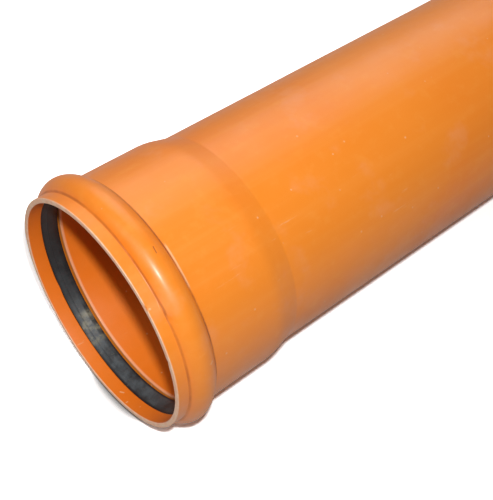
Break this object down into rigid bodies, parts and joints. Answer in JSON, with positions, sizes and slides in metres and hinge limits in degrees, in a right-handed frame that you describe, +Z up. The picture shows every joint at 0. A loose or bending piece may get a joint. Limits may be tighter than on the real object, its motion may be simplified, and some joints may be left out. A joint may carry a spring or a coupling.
{
  "type": "pvc sewer pipe",
  "caption": "Orange PVC-U drain and sewer pipe, 160 mm outside diameter, with a push-fit socket, a rubber sealing ring and a bevelled plain end.",
  "frame": {"origin": "on the floor, under the middle of the lying pipe", "axes": "+X runs along the pipe from the socket's mouth to the plain end, +Z up; the pipe lies on the swelling of its socket and on its plain end, so its own axis dips 0.59 degrees towards +X"},
  "size_m": [1.0806, 0.1816, 0.1816],
  "materials": {
    "pvc": "smooth extruded PVC, satin gloss",
    "seal_rubber": "matt moulded rubber with a grey bloom"
  },
  "bodies": {
    "root": {"pipe": "pvc", "sealing_ring": "seal_rubber"}
  },
  "joints": []
}
